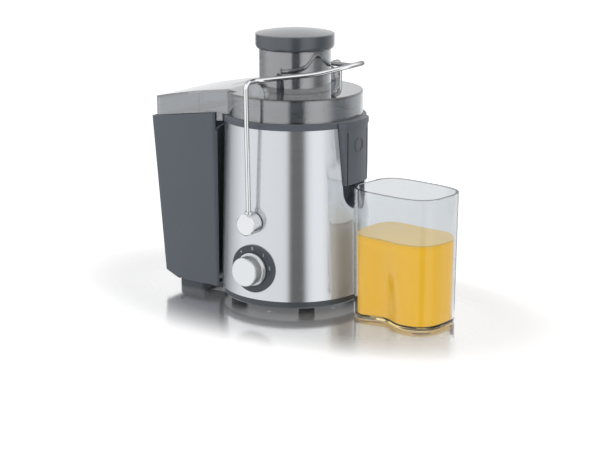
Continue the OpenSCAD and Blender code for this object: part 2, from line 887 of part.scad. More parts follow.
// One field coil around a pole of the stator, drawn out by grow
module coil(grow) {
    span = 118;
    rotate([0, 0, -span / 2])
        difference() {
            rotate_extrude(angle = span)
                polygon([
                    [coil_in_r - grow, stack_z - coil_over], [coil_out_r + grow, stack_z - coil_over],
                    [coil_out_r + grow, stack_z + stack_h + coil_over], [coil_in_r - grow, stack_z + stack_h + coil_over]
                ]);
            rotate([0, 0, 12 + grow])
                rotate_extrude(angle = span - 24 - 2 * grow)
                    polygon([
                        [coil_in_r - 2, stack_z - 0.1], [coil_out_r + 2, stack_z - 0.1],
                        [coil_out_r + 2, stack_z + stack_h + 0.1], [coil_in_r - 2, stack_z + stack_h + 0.1]
                    ]);
        }
}

module stator_core() {
    color("#6e7276")
        difference() {
            rod(stator_r, stack_z, stack_z + stack_h);
            rod(stator_bore_r, stack_z - 1, stack_z + stack_h + 1);
            for (a = [0, 180])
                rotate([0, 0, a])
                    coil(0.2);
            for (a = [45, 135, 225, 315])
                rotate([0, 0, a])
                    translate([bracket_post_r + 1, 0, 0])
                        rod(1.7, stack_z - 1, stack_z + stack_h + 1);
        }
}

module field_coils() {
    color("#a8622c")
        for (a = [0, 180])
            rotate([0, 0, a])
                coil(0);
}

// Spider that holds a bearing: a cup, four arms and four pads
module bracket(cup_z, cup_h, arm_z, arm_h) {
    difference() {
        union() {
            rod(bearing_r + 2.5, cup_z, cup_z + cup_h);
            for (a = [45, 135, 225, 315])
                rotate([0, 0, a]) {
                    translate([4, -5, arm_z])
                        cube([bracket_post_r - 2, 10, arm_h]);
                    translate([bracket_post_r + 1, 0, 0])
                        rod(post_r, arm_z, arm_z + arm_h);
                }
        }
        for (a = [45, 135, 225, 315])
            rotate([0, 0, a])
                translate([bracket_post_r + 1, 0, 0])
                    rod(1.7, arm_z - 1, arm_z + arm_h + 1);
    }
}

module lower_bracket() {
    color("#4a4e52")
        difference() {
            union() {
                bracket(low_bearing_z - 2, bearing_h + 2, low_bearing_z + 2, 4);
                // legs up to the stator and down to the base
                for (a = [45, 135, 225, 315])
                    rotate([0, 0, a])
                        translate([bracket_post_r + 1, 0, 0]) {
                            ring(post_r, 1.7, low_bearing_z + 5, stack_z - low_bearing_z - 5);
                        }
                rod(bearing_r + 2.5, sleeve_z, low_bearing_z - 1);
            }
            rod(bearing_r, low_bearing_z, low_bearing_z + bearing_h + 1);
            rod(shaft_r + 1, sleeve_z - 1, low_bearing_z + 1);
        }
}

module upper_bracket() {
    top_z = stack_z + stack_h;
    color("#4a4e52")
        difference() {
            union() {
                bracket(high_bearing_z - 1, bearing_h + 2, high_bearing_z, 4);
                for (a = [45, 135, 225, 315])
                    rotate([0, 0, a])
                        translate([bracket_post_r + 1, 0, 0])
                            ring(post_r, 1.7, top_z, high_bearing_z - top_z + 1);
                // ties up to the deck
                for (a = [45, 135, 225, 315])
                    rotate([0, 0, a])
                        translate([bracket_post_r - 9, 0, 0])
                            rod(4, high_bearing_z + 3, deck_z - deck_t);
            }
            rod(bearing_r, high_bearing_z, high_bearing_z + bearing_h + 3);
            rod(shaft_r + 1, high_bearing_z - 2, high_bearing_z + 1);
        }
}

module motor_screws() {
    color("silver")
        for (a = [45, 135, 225, 315])
            rotate([0, 0, a])
                translate([bracket_post_r + 1, 0, 0]) {
                    rod(1.6, low_bearing_z + 2, high_bearing_z + 4);
                    rod(3, high_bearing_z + 4, high_bearing_z + 6.5);
                }
}

module bearing(z) {
    color("lightgray")
        difference() {
            rod(bearing_r, z, z + bearing_h);
            rod(shaft_r + run_gap, z - 1, z + bearing_h + 1);
            for (s = [-0.6, bearing_h - 0.4])
                ring(bearing_r - 2, shaft_r + 2, z + s, 1);
        }
}

module lower_bearing() {
    bearing(low_bearing_z);
}

module upper_bearing() {
    bearing(high_bearing_z);
}

comm_z = 44;
comm_h = 10;
comm_r = 12;

// Bar between two of the lower bracket's posts, its ends cut to lie against them
module bracket_bar() {
    difference() {
        translate([comm_r + 8, -24, 0])
            cube([6, 48, 3]);
        for (a = [-45, 45])
            rotate([0, 0, a])
                translate([bracket_post_r + 1, 0, 0])
                    rod(post_r, -1, 4);
    }
}

module brush_holders() {
    color("#c2a24d")
        for (a = [0, 180])
            rotate([0, 0, a])
                difference() {
                    translate([comm_r + 2, -5, comm_z])
                        cube([18, 10, comm_h]);
                    translate([comm_r + 1, -3, comm_z + 2])
                        cube([16, 6, comm_h - 4]);
                }
    // insulating bars that carry the holders between the bracket's posts
    color("#3b3f43")
        for (a = [0, 180])
            rotate([0, 0, a])
                translate([0, 0, comm_z - 3])
                    bracket_bar();
}

module carbon_brushes() {
    color("#2b2b2b")
        for (a = [0, 180])
            rotate([0, 0, a])
                translate([comm_r + move_gap, -2.9, comm_z + 2.1])
                    cube([14, 5.8, comm_h - 4.2]);
}

module shaft_seal() {
    color("#24272a")
        ring(9, shaft_r + move_gap, deck_z - 8, 8);
}

module rotary_switch() {
    half = 13;
    plate_t = 5;
    box_l = 16;
    color("#e8e4d8")
        difference() {
            union() {
                translate([-half - 1, -dial_back_y + plate_t - 1, knob_z - half])
                    cube([2 * half + 2, box_l, 2 * half]);
                // round plate on the back of the dial ring
                rod_y(half + 4, -dial_back_y, -dial_back_y + plate_t, knob_z);
            }
            rod_y(spindle_r + run_gap, -knob_face_y, -dial_back_y + plate_t + 9, knob_z);
        }
}

module safety_switch() {
    color("#d8d4c8")
        difference() {
            translate([14, switch_y - 10, pivot_z - 10])
                cube([6, 10, 20]);
            for (z = [pivot_z - 6, pivot_z + 6])
                translate([10, switch_y - 5, z])
                    rotate([0, 90, 0])
                        cylinder(r = 1.2, h = 12);
        }
}

module suppression_capacitor() {
    r = 7;
    color("#e3b23c")
        translate([-28, 44, base_z + base_floor_t + r])
            rotate([0, 90, 0]) {
                rod(r, 0, 19);
                rod(1, -3, 22);
            }
}

/* ---- Rotor ---- */

coupling_top_z = disc_z - 3;

module motor_shaft() {
    color("silver")
        rod(shaft_r, low_bearing_z - 3, coupling_top_z - 4);
}

module armature_core() {
    color("#6e7276")
        difference() {
            rod(stator_bore_r - 0.8, stack_z, stack_z + stack_h);
            rod(shaft_r, stack_z - 1, stack_z + stack_h + 1);
            for (i = [0:11])
                rotate([0, 0, 30 * i])
                    translate([stator_bore_r - 5, -1, stack_z - 1])
                        cube([6, 2, stack_h + 2]);
        }
}

module armature_windings() {
    color("#a8622c")
        for (z = [stack_z - 7, stack_z + stack_h])
            difference() {
                translate([0, 0, z])
                    rotate_extrude()
                        polygon([[7, 0], [16, 0], [18.5, 2], [18.5, 5], [16, 7], [7, 7]]);
                rod(shaft_r, z - 1, z + 8);
            }
}

module commutator() {
    color("#b87333")
        difference() {
            rod(comm_r, comm_z, comm_z + comm_h);
            rod(shaft_r, comm_z - 1, comm_z + comm_h + 1);
            for (i = [0:11])
                rotate([0, 0, 30 * i])
                    translate([comm_r - 1.5, -0.3, comm_z - 1])
                        cube([3, 0.6, comm_h + 2]);
        }
}

module cooling_fan() {
    z = 31;
    color("#3b3f43")
        difference() {
            union() {
                rod(9, z, z + 9);
                rod(fan_r - 4, z, z + 1.5);
                for (i = [0:fan_blades - 1])
                    rotate([0, 0, 360 * i / fan_blades])
                        translate([8, -0.9, z])
                            cube([fan_r - 8, 1.8, 8]);
            }
            rod(shaft_r, z - 1, z + 10);
        }
}

module drive_coupling() {
    low_z = deck_z + 2.4;
    color("#33373b")
        difference() {
            union() {
                rod(7, low_z, coupling_top_z);
                for (i = [0:5])
                    rotate([0, 0, 60 * i])
                        translate([6, 0, 0])
                            rod(2, low_z, coupling_top_z);
            }
            rod(shaft_r, low_z - 1, coupling_top_z - 4);
        }
}

basket_hub_r = 12;

// Cross-section of the conical wall between the disc and the rim
module cone_profile(r_add, wall) {
    top_z = flange_top_z - 1.6;
    polygon([
        [disc_r + r_add, disc_z], [disc_r + r_add + wall, disc_z],
        [sieve_top_r + r_add + wall, top_z], [sieve_top_r + r_add, top_z]
    ]);
}

module sieve_basket() {
    rim_z = flange_top_z - 1.6;
    rim_out = spigot_r - spigot_wall - 0.5;
    color("#4d5359") {
        difference() {
            union() {
                rod(disc_r + 1.5, disc_z - 2.5, disc_z);
                rod(basket_hub_r, deck_z + 6, disc_z - 2);
            }
            rod(8.2, deck_z + 5, coupling_top_z + 0.2);
            rod(3, disc_z - 10, disc_z + 1);
        }
        // rim
        ring(rim_out, sieve_top_r - 1, rim_z - 1.5, 2.6);
        // ribs between the disc and the rim
        intersection() {
            rotate_extrude()
                cone_profile(0.6, 1);
            for (i = [0:rib_count - 1])
                rotate([0, 0, 360 * i / rib_count])
                    translate([disc_r - 3, -1, disc_z - 3])
                        cube([sieve_top_r - disc_r + 8, 2, rim_z - disc_z + 3]);
        }
    }
}

module filter_cone() {
    color("lightgray")
        difference() {
            rotate_extrude()
                cone_profile(0, 0.6);
            ring(100, sieve_top_r - 1, flange_top_z - 3.1, 10);
        }
}

module grater_disc() {
    tooth_h = 1.3;
    color("silver") {
        difference() {
            rod(disc_r, disc_z, disc_z + 0.8);
            rod(3, disc_z - 1, disc_z + 2);
        }
        for (row = [0:tooth_rows - 1])
            let (r = 12 + row * (disc_r - 16) / tooth_rows, n = 6 + 3 * row)
                for (i = [0:n - 1])
                    rotate([0, 0, 360 * (i + row / 2) / n])
                        translate([r, 0, disc_z + 0.8 - eps])
                            linear_extrude(tooth_h)
                                polygon([[-0.9, -1.5], [0.9, -1.5], [0, 1.5]]);
    }
}

module disc_nut() {
    color("silver") {
        rod(2.9, coupling_top_z + 0.3, disc_z + 1);
        translate([0, 0, disc_z + 0.8])
            rotate_extrude()
                polygon([[0, 0], [7, 0], [7, 1.2], [5.5, 2.6], [3, 3.4], [0, 3.6]]);
    }
}

/* ---- Pulp container ---- */

// Solid form of the container, drawn in by inset
module bin_form(inset) {
    corner = 8 - inset;
    inner = 5;
    foot_half = bin_half - 3;
    middle_x = (bin_reach + bin_inner_x) / 2;
    slice = 0.1;
    hull($fn = 32) {
        // rim
        for (s = [-1, 1]) {
            translate([-bin_reach + 8, s * (bin_half - 8 - 1), rim_z(bin_reach) + 3])
                cylinder(r = corner, h = slice);
            translate([-middle_x, s * (bin_half - 8), rim_z(middle_x) + 3])
                cylinder(r = corner, h = slice);
            translate([-bin_inner_x - inner, s * (bin_half - 5 - 1), bin_rim_z + 1.5])
                cylinder(r = inner - inset, h = slice);
            // lower edge of the outer end
            translate([-bin_foot_reach + 8, s * (foot_half - 8 - 1.5), bin_bottom_z + 7])
                cylinder(r = corner, h = slice);
            // flat bottom
            translate([-bin_foot_reach + 14 + 7, s * (foot_half - 10), bin_bottom_z + inset])
                cylinder(r = 7 - inset, h = slice);
            translate([-bin_inner_x - inner, s * (foot_half - 7), bin_bottom_z + inset])
                cylinder(r = inner - inset, h = slice);
        }
    }
}

module pulp_container() {
    inner_top_z = bin_rim_z - 19;
    color(slate)
        difference() {
            bin_form(0);
            difference() {
                bin_form(bin_wall);
                rod(bin_clear_r + bin_wall, 0, 210);
            }
            rod(bin_clear_r, 0, 210);
            // sloping rim
            translate([-bin_inner_x, 0, bin_rim_z])
                rotate([0, -atan(rim_slope), 0])
                    translate([-120, -100, 0])
                        cube([200, 200, 40]);
            // the wall next to the body is lower, so pulp falls in over it
            translate([-bin_inner_x - 30, -bin_half + bin_wall + 1.2, inner_top_z])
                cube([60, 2 * (bin_half - bin_wall - 1.2), 60]);
            // groove that rocks on the stand's bead
            translate([-bead_x, 0, stand_top_z])
                rotate([90, 0, 0])
                    cylinder(r = bead_r + move_gap, h = 140, center = true);
        }
}

/* ---- Juice jug ---- */

jug_steps = 80;
jug_draft = 1.2;

// Smooth step from 0 to 1
function smooth(t) = let (s = min(max(t, 0), 1)) s * s * (3 - 2 * s);

// Radius of the jug's plan at a polar angle, squarer at the spout's end
function jug_polar(a, half_l, half_w) = let (n = cos(a) > 0 ? 3.2 : 4)
    pow(pow(abs(cos(a)) / half_l, n) + pow(abs(sin(a)) / half_w, n), -1 / n);

// Point i of the jug's plan at height z, drawn in by inset
function jug_point(i, z, inset) = let (
    a = 360 * i / jug_steps,
    shrink = inset + jug_draft * (1 - z / jug_h),
    r = jug_polar(a, jug_l / 2 - shrink, jug_half - shrink),
    x = r * cos(a),
    y = r * sin(a),
    waist_x = -6,
    bump = abs(x - waist_x) < 28 ? pow(cos(90 * (x - waist_x) / 28), 2) : 0,
    waist = jug_waist * bump * (1 - smooth(z / (jug_h - 10))),
    lip = x < 0 && abs(y) < 18 ? pow(cos(90 * y / 18), 2) : 0,
    out = smooth((z - jug_h + 32) / 28))
    [jug_near_x + jug_l / 2 + x - lip * out * beak_l, y - sign(y) * waist, z - lip * 7 * smooth((z - jug_h + 20) / 20)];

module juice_jug() {
    grid = [0.12, 0.24, 0.36, 0.48, 0.6, 0.72, 0.8, 0.85, 0.9, 0.95, 1];
    last = len(grid) - 1;
    levels = concat(
        [[0, 2.5], [0.8, 0.9], [2.4, 0]],
        [for (t = grid) [t * jug_h, 0]],
        [for (i = [last:-1:0]) [grid[i] * jug_h, jug_wall]],
        [[5, jug_wall], [jug_wall + 0.6, jug_wall + 3]]);
    points = [for (l = levels, i = [0:jug_steps - 1]) jug_point(i, l[0], l[1])];
    color(clear)
        translate([jug_near_x - 12, 0, 0])
            rotate([0, 0, -jug_turn])
                translate([12 - jug_near_x, 0, 0])
                    polyhedron(points, skin_faces(len(levels), jug_steps));
}

base_plate();
rubber_feet();
base_screws();
container_stand();
inner_housing();
steel_sleeve();
dial_ring();
pivot_pins();
juice_bowl();
bowl_gasket();
lid();
cord_gland();
stator_core();
field_coils();
lower_bracket();
upper_bracket();
motor_screws();
lower_bearing();
upper_bearing();
brush_holders();
carbon_brushes();
shaft_seal();
rotary_switch();
safety_switch();
suppression_capacitor();
motor_shaft();
armature_core();
armature_windings();
commutator();
cooling_fan();
drive_coupling();
sieve_basket();
filter_cone();
grater_disc();
disc_nut();
bail_wire();
front_boss();
rear_boss();
pusher_tube();
pusher_cap();
knob_grip();
knob_face();
knob_spindle();
pulp_container();
juice_jug();
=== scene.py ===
"""Finishes, juice and studio for the centrifugal juicer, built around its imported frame."""
import json
import math

import bmesh
import bpy
from mathutils import Matrix, Vector
from mathutils.bvhtree import BVHTree


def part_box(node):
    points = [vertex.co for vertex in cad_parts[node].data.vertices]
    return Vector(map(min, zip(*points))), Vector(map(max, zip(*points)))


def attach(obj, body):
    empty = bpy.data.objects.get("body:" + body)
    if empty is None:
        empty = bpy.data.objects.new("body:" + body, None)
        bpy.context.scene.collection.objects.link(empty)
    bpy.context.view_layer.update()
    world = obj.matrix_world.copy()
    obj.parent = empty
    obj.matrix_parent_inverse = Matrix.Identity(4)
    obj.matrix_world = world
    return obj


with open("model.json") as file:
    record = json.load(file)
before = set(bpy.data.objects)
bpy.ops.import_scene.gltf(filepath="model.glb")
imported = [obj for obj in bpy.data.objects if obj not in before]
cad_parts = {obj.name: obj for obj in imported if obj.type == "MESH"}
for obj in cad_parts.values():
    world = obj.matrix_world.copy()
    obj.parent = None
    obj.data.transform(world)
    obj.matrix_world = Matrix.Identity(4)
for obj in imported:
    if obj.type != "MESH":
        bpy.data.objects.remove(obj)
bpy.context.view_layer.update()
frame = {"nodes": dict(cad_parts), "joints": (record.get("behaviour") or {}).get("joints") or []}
nodes = frame["nodes"]
joints = {joint["name"]: joint for joint in frame["joints"]}

MM = 0.001
FULL_TURN = 2 * math.pi
WHITE, BLACK = (1, 1, 1, 1), (0, 0, 0, 1)
FLOAT, VECTOR = "NodeSocketFloat", "NodeSocketVector"

# Camera: place, turn about the vertical from a view along +Y, fall below the horizon, lens
CAMERA_PLACE = Vector((0.8561, -1.2853, 0.4755))
CAMERA_TURN = math.radians(33.48)
CAMERA_FALL = math.radians(14.59)
CAMERA_LENS = 93.82
SENSOR_WIDTH = 36
CLIP_END = 50

# Axes of the knob and of the bail's bosses, and the turn that lays a pattern's Z axis along Y
KNOB_AXIS = Vector(joints["knob_turn"]["pos_m"])
PIVOT_AXIS = Vector(joints["bail_swing"]["pos_m"])
ALONG_Y = (math.radians(90), 0, 0)
STAND_UP = Matrix.Rotation(math.radians(90), 4, "X")

# Height of the juice and of the froth on it, over the table
JUICE_TOP = 84 * MM
FROTH_TOP = 85.6 * MM
FROTH_LEVELS = [JUICE_TOP + 0.02 * MM, JUICE_TOP + 0.8 * MM, FROTH_TOP]
# Rings of the juice above the jug's floor, in mm, and the room kept between them and its surface
JUICE_RISES = [0.15, 0.6, 1.5, 3, 6, 14, 28, 42, 56, 70]
TOP_RING_ROOM = 2 * MM
# Gap between the juice and the jug's wall, and the corners of each ring
JUICE_GAP = 0.1 * MM
RING_STEPS = 180
# Height inside the jug from which its floor is sought
FLOOR_SEARCH_Z = 60 * MM
# Top of the jug's thick floor, below which a painted refraction of the juice's colour is laid, and
# how far that colour fades below it
JUG_FLOOR_TOP = 5 * MM
JUG_FLOOR_FADE = 1 * MM

# Print on the dial ring: numerals and the dot for the short pulse, with their turns in degrees
DIAL_NUMERALS = [("0", 0), ("1", 40), ("2", 80)]
DIAL_DOT_TURN = -40
PRINT_RADIUS = 20.7 * MM
NUMERAL_SIZE = 4.6 * MM
DOT_RADIUS = 0.8 * MM
PRINT_HALF_DEPTH = 0.04 * MM
PRINT_LIFT = 0.03 * MM

# Smooth shading: corners closer than this are joined, edges sharper than this stay sharp
WELD_REACH = 0.002 * MM
CREASE = math.radians(32)

# Noise: detail of fine grain, of brushed lines and of slow unevenness, and common roughness
GRAIN_DETAIL, LINE_DETAIL, SLOW_DETAIL = 3.0, 4.0, 2.0
NOISE_ROUGHNESS = 0.55
# Scale of the slow unevenness across brushed lines, rings and layers
LINE_DRIFT, RING_DRIFT, LAYER_DRIFT = 0.12, 60.0, 80.0
# Smallest roughness any finish reaches
LEAST_ROUGHNESS = 0.01

# How level a face is where the clear plastic's gloss starts and stops falling, and its last share
LEVEL_START, LEVEL_END, LEVEL_GLOSS = 0.35, 0.8, 0.4
# Agreement of the rounded and the true normal where an edge's painted shade starts and is full
EDGE_START, EDGE_FULL = 0.995, 0.93

# Table: half its width, then middle, stretch, inner and outer reach of its polished field
TABLE_HALF = 12.0
POLISH_MIDDLE = (0.02, 0.0, 0.0)
POLISH_STRETCH = (1.85, 1.0, 1.0)
POLISH_INNER, POLISH_OUTER = 0.085, 0.175
# Weight of the polish for each share that the table is seen edge on, and its roughness
POLISH_SHARE = 1.18
POLISH_ROUGHNESS = 0.13
# Own light of the open table to the camera, and the share of it that clear plastic passes
TABLE_GLOW, TABLE_GLOW_THROUGH = 0.45, 0.35

# Brightness of the studio round the juicer: turn in degrees from the camera's side to the right
STUDIO_BAND = [
    (-180, 1.0), (-158, 1.0), (-150, 0.16), (-131, 0.36), (-118, 0.58), (-106, 0.76), (-92, 0.94),
    (-56, 0.94), (-20, 0.90), (-13, 0.84), (-6, 0.06), (12, 0.06), (20, 0.80), (28, 1.04),
    (43, 1.06), (50, 0.92), (58, 0.76), (66, 0.40), (74, 0.26), (92, 0.28), (112, 0.62),
    (140, 0.80), (158, 1.0), (180, 1.0),
]
# The screens are a little cool: shares of their level in red, green and blue
SCREEN_TINT = (1.0, 1.01, 1.025)
# Rise of a mirrored ray over which the band gives way to white, and white to the grey overhead
BAND_FADE = (-0.06, 0.04)
OVERHEAD_FADE = (0.78, 0.95)
OVERHEAD = (0.42, 0.43, 0.45, 1)
EVEN_LIGHT = 0.62
# Lamps: name, place, size in metres, power in watts; all shine at the juicer's middle
LAMPS = [
    ("lamp_left", (-1.1, -1.2, 1.3), 2.4, 9.0),
    ("lamp_right", (1.5, -0.5, 1.2), 2.0, 5.0),
    ("lamp_back", (0.2, 1.3, 1.5), 2.4, 5.0),
]
LAMP_TARGET = Vector((0, 0, 0.12))


# ---- Colours and shader helpers ----

def colour(code):
    """Linear colour of a #rrggbb code."""
    values = []
    for i in (1, 3, 5):
        c = int(code[i:i + 2], 16) / 255
        values.append(c / 12.92 if c <= 0.04045 else ((c + 0.055) / 1.055) ** 2.4)
    return (*values, 1.0)


def shade(rgba, share):
    """The colour made darker or lighter by a share of itself."""
    return (*[min(1.0, v * share) for v in rgba[:3]], 1.0)


def place_node(tree, kind, **settings):
    """A new shader node with its properties and unlinked sockets set."""
    made = tree.nodes.new(kind)
    for key, value in settings.items():
        if hasattr(made, key):
            setattr(made, key, value)
        else:
            made.inputs[key.replace("_", " ")].default_value = value
    return made


def feed(tree, socket, value):
    """Links a socket to an output, or sets it to a plain value."""
    if isinstance(value, bpy.types.NodeSocket):
        tree.links.new(value, socket)
    else:
        socket.default_value = value


def object_place(tree):
    """The point on the piece, in its own coordinates."""
    return place_node(tree, "ShaderNodeTexCoord").outputs["Object"]


def split_axes(tree, vector):
    """The X, Y and Z outputs of a vector."""
    parts = place_node(tree, "ShaderNodeSeparateXYZ")
    tree.links.new(vector, parts.inputs[0])
    return parts.outputs


def math_node(tree, operation, a, b=None):
    """A Math node whose inputs are links or plain numbers; returns its output."""
    made = place_node(tree, "ShaderNodeMath", operation=operation)
    feed(tree, made.inputs[0], a)
    if b is not None:
        feed(tree, made.inputs[1], b)
    return made.outputs[0]


def length_of(tree, a, b):
    """The long side of a right-angled triangle with the short sides a and b."""
    squares = [math_node(tree, "MULTIPLY", side, side) for side in (a, b)]
    return math_node(tree, "SQRT", math_node(tree, "ADD", *squares))


def map_range(tree, value, start, end, low=0.0, high=1.0, **settings):
    """low where the value is start, high where it is end, and between them in between."""
    made = place_node(tree, "ShaderNodeMapRange", From_Min=start, From_Max=end, To_Min=low,
                      To_Max=high, **settings)
    tree.links.new(value, made.inputs["Value"])
    return made.outputs["Result"]


def mix_colours(tree, share, first, second):
    """first where the share is 0, second where it is 1; each a link or a plain colour."""
    made = place_node(tree, "ShaderNodeMix", data_type="RGBA")
    tree.links.new(share, made.inputs[0])
    feed(tree, made.inputs[6], first)
    feed(tree, made.inputs[7], second)
    return made.outputs[2]


def mix_shaders(tree, share, first, second):
    """The shader first where the share is 0, second where it is 1."""
    made = place_node(tree, "ShaderNodeMixShader")
    for socket, output in zip(made.inputs, (share, first, second)):
        tree.links.new(output, socket)
    return made.outputs[0]


def noise(tree, vector, scale, detail):
    """Noise on a vector; scale is a link or a number."""
    made = place_node(tree, "ShaderNodeTexNoise", Detail=detail, Roughness=NOISE_ROUGHNESS)
    tree.links.new(vector, made.inputs["Vector"])
    feed(tree, made.inputs["Scale"], scale)
    return made.outputs["Fac"]


# ---- Pattern groups ----

def group_tree(name, inputs, outputs=("Height", "Tone")):
    """An empty shader group; returns its tree, its entry's outputs and its exit's inputs."""
    tree = bpy.data.node_groups.new(name, "ShaderNodeTree")
    for label, kind, value in inputs:
        made = tree.interface.new_socket(label, in_out="INPUT", socket_type=kind)
        if value is not None:
            made.default_value = value
    for label in outputs:
        tree.interface.new_socket(label, in_out="OUTPUT", socket_type=FLOAT)
    return tree, tree.nodes.new("NodeGroupInput").outputs, tree.nodes.new("NodeGroupOutput").inputs


def build_grain():
    """Moulded surface: fine grain as Height, slow unevenness as Tone."""
    tree, given, wanted = group_tree(
        "moulded_grain",
        [("Vector", VECTOR, None), ("Grain", FLOAT, 900.0), ("Drift", FLOAT, 18.0)])
    tree.links.new(noise(tree, given["Vector"], given["Grain"], GRAIN_DETAIL), wanted["Height"])
    tree.links.new(noise(tree, given["Vector"], given["Drift"], SLOW_DETAIL), wanted["Tone"])
    return tree


def build_brushing():
    """Brushed or drawn metal: lines stretched along two axes, as Height and Tone."""
    tree, given, wanted = group_tree(
        "brush_lines", [("Vector", VECTOR, None), ("Stretch", VECTOR, (30.0, 30.0, 3000.0))])
    scaled = place_node(tree, "ShaderNodeVectorMath", operation="MULTIPLY")
    tree.links.new(given["Vector"], scaled.inputs[0])
    tree.links.new(given["Stretch"], scaled.inputs[1])
    tree.links.new(noise(tree, scaled.outputs[0], 1.0, LINE_DETAIL), wanted["Height"])
    tree.links.new(noise(tree, scaled.outputs[0], LINE_DRIFT, SLOW_DETAIL), wanted["Tone"])
    return tree


def build_turning():
    """Turned metal: rings about the vector's Z axis, as Height and Tone."""
    tree, given, wanted = group_tree(
        "turning_rings", [("Vector", VECTOR, None), ("Rings", FLOAT, 9000.0)])
    axes = split_axes(tree, given["Vector"])
    radius = length_of(tree, axes["X"], axes["Y"])
    wave = math_node(tree, "SINE", math_node(tree, "MULTIPLY", radius, given["Rings"]))
    tree.links.new(wave, wanted["Height"])
    tree.links.new(noise(tree, given["Vector"], RING_DRIFT, SLOW_DETAIL), wanted["Tone"])
    return tree


def build_holes():
    """Rows of punched holes round the Z axis: Hole is 1 inside a hole."""
    tree, given, wanted = group_tree(
        "punched_holes",
        [("Vector", VECTOR, None), ("Around", FLOAT, 190.0), ("Rows", FLOAT, 620.0),
         ("Size", FLOAT, 0.3)], ["Hole"])
    axes = split_axes(tree, given["Vector"])
    turn = math_node(tree, "DIVIDE", math_node(tree, "ARCTAN2", axes["Y"], axes["X"]), FULL_TURN)
    along = math_node(tree, "MULTIPLY", turn, given["Around"])
    up = math_node(tree, "MULTIPLY", axes["Z"], given["Rows"])
    # Each row is shifted by half a hole against the row below it
    shift = math_node(tree, "MULTIPLY", math_node(tree, "FLOOR", up), 0.5)
    along = math_node(tree, "ADD", along, shift)
    from_middle = [math_node(tree, "SUBTRACT", math_node(tree, "FRACT", way), 0.5)
                   for way in (along, up)]
    inside = math_node(tree, "LESS_THAN", length_of(tree, *from_middle), given["Size"])
    tree.links.new(inside, wanted["Hole"])
    return tree


def build_layers():
    """Stacked sheets or wound turns: a wave along Z as Height."""
    tree, given, wanted = group_tree(
        "stacked_layers", [("Vector", VECTOR, None), ("Layers", FLOAT, 9000.0)])
    height = split_axes(tree, given["Vector"])["Z"]
    wave = math_node(tree, "SINE", math_node(tree, "MULTIPLY", height, given["Layers"]))
    tree.links.new(wave, wanted["Height"])
    tree.links.new(noise(tree, given["Vector"], LAYER_DRIFT, SLOW_DETAIL), wanted["Tone"])
    return tree


def build_upright():
    """Gloss that is full on upright walls and falls away on level ones, as Weight."""
    tree, given, wanted = group_tree(
        "upright_gloss", [("Normal", VECTOR, None), ("Gloss", FLOAT, 1.0)], ["Weight"])
    level = math_node(tree, "ABSOLUTE", split_axes(tree, given["Normal"])["Z"])
    share = map_range(tree, level, LEVEL_START, LEVEL_END, 1.0, LEVEL_GLOSS)
    tree.links.new(math_node(tree, "MULTIPLY", share, given["Gloss"]), wanted["Weight"])
    return tree


GROUPS = {
    "upright": build_upright(),
    "grain": build_grain(), "brushing": build_brushing(), "turning": build_turning(),
    "holes": build_holes(), "layers": build_layers(),
}


def place_group(tree, name, **values):
    """A pattern group placed in a material, with its own values."""
    made = place_node(tree, "ShaderNodeGroup", node_tree=GROUPS[name])
    for label, value in values.items():
        feed(tree, made.inputs[label], value)
    return made.outputs


# ---- Finishes ----

FINISHES = {}


def finish(name, code, roughness, pattern, depth, metallic=0.0, spread=0.06, tone=0.08,
           centre=None, plain=(), **values):
    """A material in FINISHES whose colour, roughness and bump follow a pattern group.

    depth is the bump's height in metres, spread the change of roughness and tone the change of
    colour over the surface. A pattern with a centre turns about an axis along Y through it.
    plain sets the shader's sockets, and values those of the pattern group.
    """
    made = FINISHES[name] = bpy.data.materials.new(name)
    made.use_nodes = True
    tree = made.node_tree
    shader = tree.nodes["Principled BSDF"]
    shader.inputs["Metallic"].default_value = metallic
    for label, value in plain:
        shader.inputs[label].default_value = value
    where = object_place(tree)
    if centre is not None:
        mapping = place_node(tree, "ShaderNodeMapping", vector_type="TEXTURE",
                             Location=tuple(centre), Rotation=ALONG_Y)
        tree.links.new(where, mapping.inputs["Vector"])
        where = mapping.outputs["Vector"]
    group = place_group(tree, pattern, Vector=where, **values)
    base = colour(code)
    mixed = mix_colours(tree, group["Tone"], shade(base, 1 - tone), shade(base, 1 + tone))
    tree.links.new(mixed, shader.inputs["Base Color"])
    rough = map_range(tree, group["Tone"], 0.0, 1.0,
                      max(LEAST_ROUGHNESS, roughness - spread), roughness + spread)
    tree.links.new(rough, shader.inputs["Roughness"])
    bump = place_node(tree, "ShaderNodeBump", Strength=1.0, Distance=depth)
    tree.links.new(group["Height"], bump.inputs["Height"])
    tree.links.new(bump.outputs["Normal"], shader.inputs["Normal"])
    return made


def edge_shade_mask(tree, reach):
    """1 along edges and rims, for painted shade that stands in for how dark a clear wall looks
    where it is seen through its thickness.
    """
    rounded = place_node(tree, "ShaderNodeBevel", samples=4, Radius=reach)
    plain = place_node(tree, "ShaderNodeNewGeometry")
    agreement = place_node(tree, "ShaderNodeVectorMath", operation="DOT_PRODUCT")
    tree.links.new(rounded.outputs["Normal"], agreement.inputs[0])
    tree.links.new(plain.outputs["Normal"], agreement.inputs[1])
    return map_range(tree, agreement.outputs["Value"], EDGE_START, EDGE_FULL)


def height_mask(tree, low, high):
    """1 below the height low, 0 above the height high."""
    return map_range(tree, split_axes(tree, object_place(tree))["Z"], low, high, 1.0, 0.0)


def tint(material, mask, code):
    """Turns the base colour to a code where the mask is 1."""
    tree = material.node_tree
    socket = tree.nodes["Principled BSDF"].inputs["Base Color"]
    mixed = mix_colours(tree, mask, socket.links[0].from_socket, colour(code))
    tree.links.new(mixed, socket)


